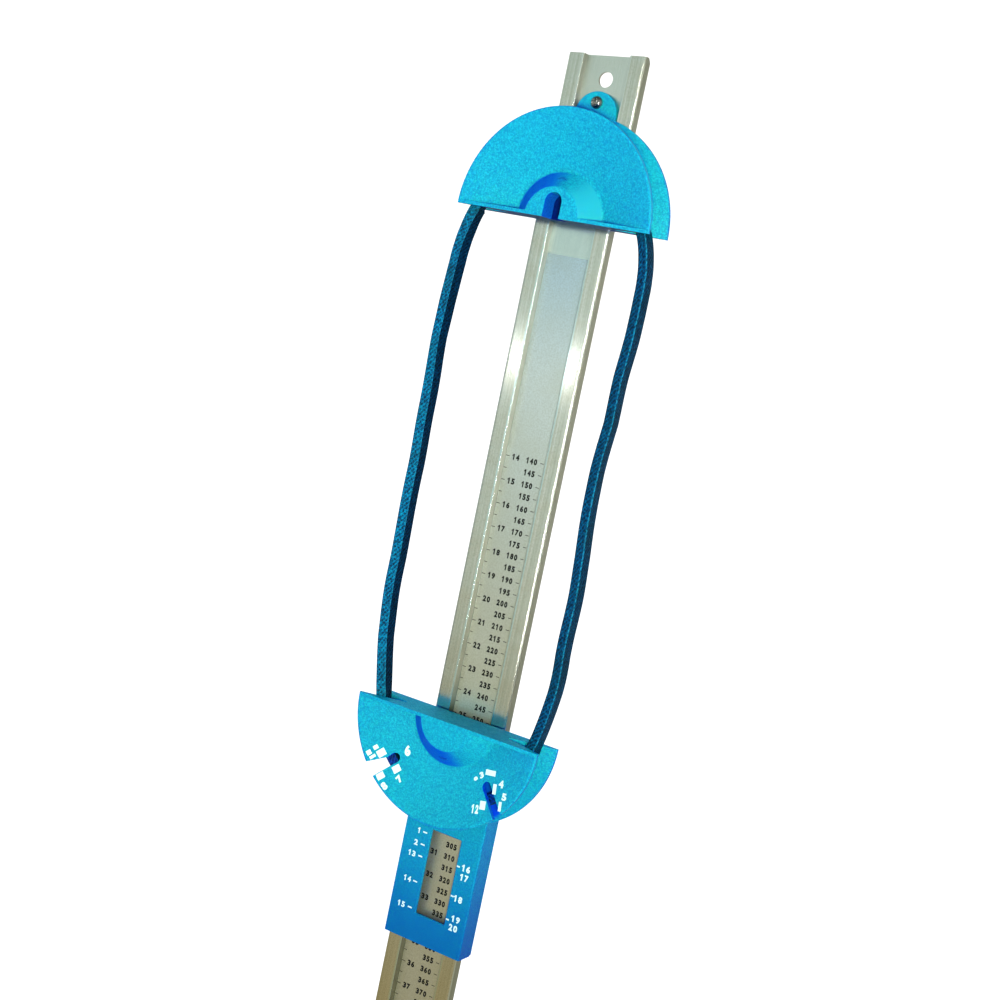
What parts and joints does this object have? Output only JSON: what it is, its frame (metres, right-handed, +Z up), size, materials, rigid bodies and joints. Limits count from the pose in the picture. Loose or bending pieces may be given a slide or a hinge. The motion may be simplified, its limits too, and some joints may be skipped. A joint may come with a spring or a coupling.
{
  "type": "V-belt length gauge",
  "caption": "Hanging V-belt length gauge: a printed channel rail with a fixed half-moon sheave and a sliding half-moon sheave whose sleeve has a reading window.",
  "frame": {"origin": "centre of the hanging hole, on the front face of the rail's web", "axes": "+Z up along the rail, -Y out of the front face towards the reader, +Y into the wall, +X to the right seen from the front"},
  "size_m": [0.1163, 0.035, 1.0013],
  "materials": {
    "rail_aluminium": "brushed",
    "scale_label": "satin printed film",
    "blue_plastic": "fine-textured moulding",
    "cover_plastic": "fine-textured moulding",
    "steel": "zinc plated",
    "spring_steel": "bright",
    "felt": "matt felt",
    "belt_wrap": "woven fabric wrap"
  },
  "bodies": {
    "gauge_rail": {"rail": "rail_aluminium", "scale_strip": "scale_label", "head_body": "blue_plastic", "head_face": "blue_plastic", "head_tab_screw": "steel", "head_tab_washer": "steel", "head_tab_nut": "steel", "head_rear_screw": "steel", "head_joining_screws": "steel", "end_stop": "blue_plastic", "end_stop_screw": "steel", "end_stop_nut": "steel", "v_belt": "belt_wrap"},
    "slider": {"slider_body": "blue_plastic", "slider_face": "blue_plastic", "slider_joining_screws": "steel", "sleeve_cover": "cover_plastic", "cover_screws": "steel", "friction_spring": "spring_steel", "friction_pad": "felt"}
  },
  "joints": [
    {"name": "slider_travel", "type": "slide", "parent": "gauge_rail", "child": "slider", "axis": [0, 0, 1], "range_m": [-0.509, 0.259], "deforming": ["v_belt"]}
  ]
}
